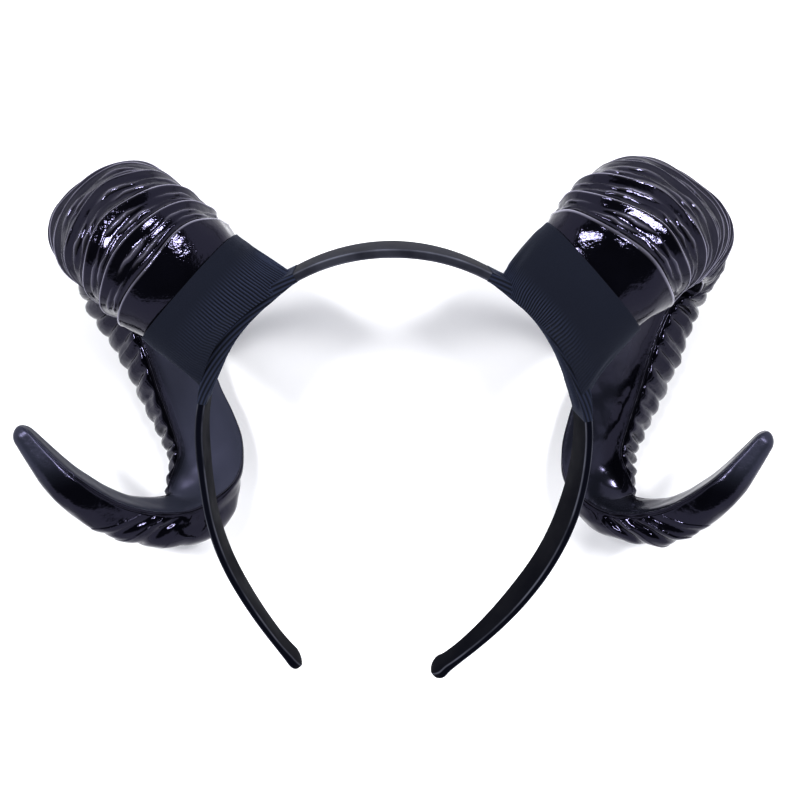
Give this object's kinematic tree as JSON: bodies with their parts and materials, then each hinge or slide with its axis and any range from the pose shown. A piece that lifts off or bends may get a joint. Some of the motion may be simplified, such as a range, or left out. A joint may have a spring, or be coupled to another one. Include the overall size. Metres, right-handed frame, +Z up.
{
  "type": "goat horns headband",
  "caption": "Costume headband: a slim plastic hoop worn over the head, with curled, ringed goat horns on its upper sides and a ribbed cloth wrap round each horn's root.",
  "frame": {"origin": "centre of the bounding box on the floor, as the headband lies on the backs of its horns", "axes": "+X from the picture's left horn to its right one, +Y towards the hoop's crown, +Z up, out of the hoop's front"},
  "size_m": [0.2634, 0.1756, 0.1095],
  "materials": {
    "band": "satin black",
    "horn": "gloss black",
    "wrap": "matte navy-black ribbed cloth"
  },
  "bodies": {
    "root": {"band": "band", "horn_left": "horn", "wrap_left": "wrap", "horn_right": "horn", "wrap_right": "wrap"}
  },
  "joints": []
}
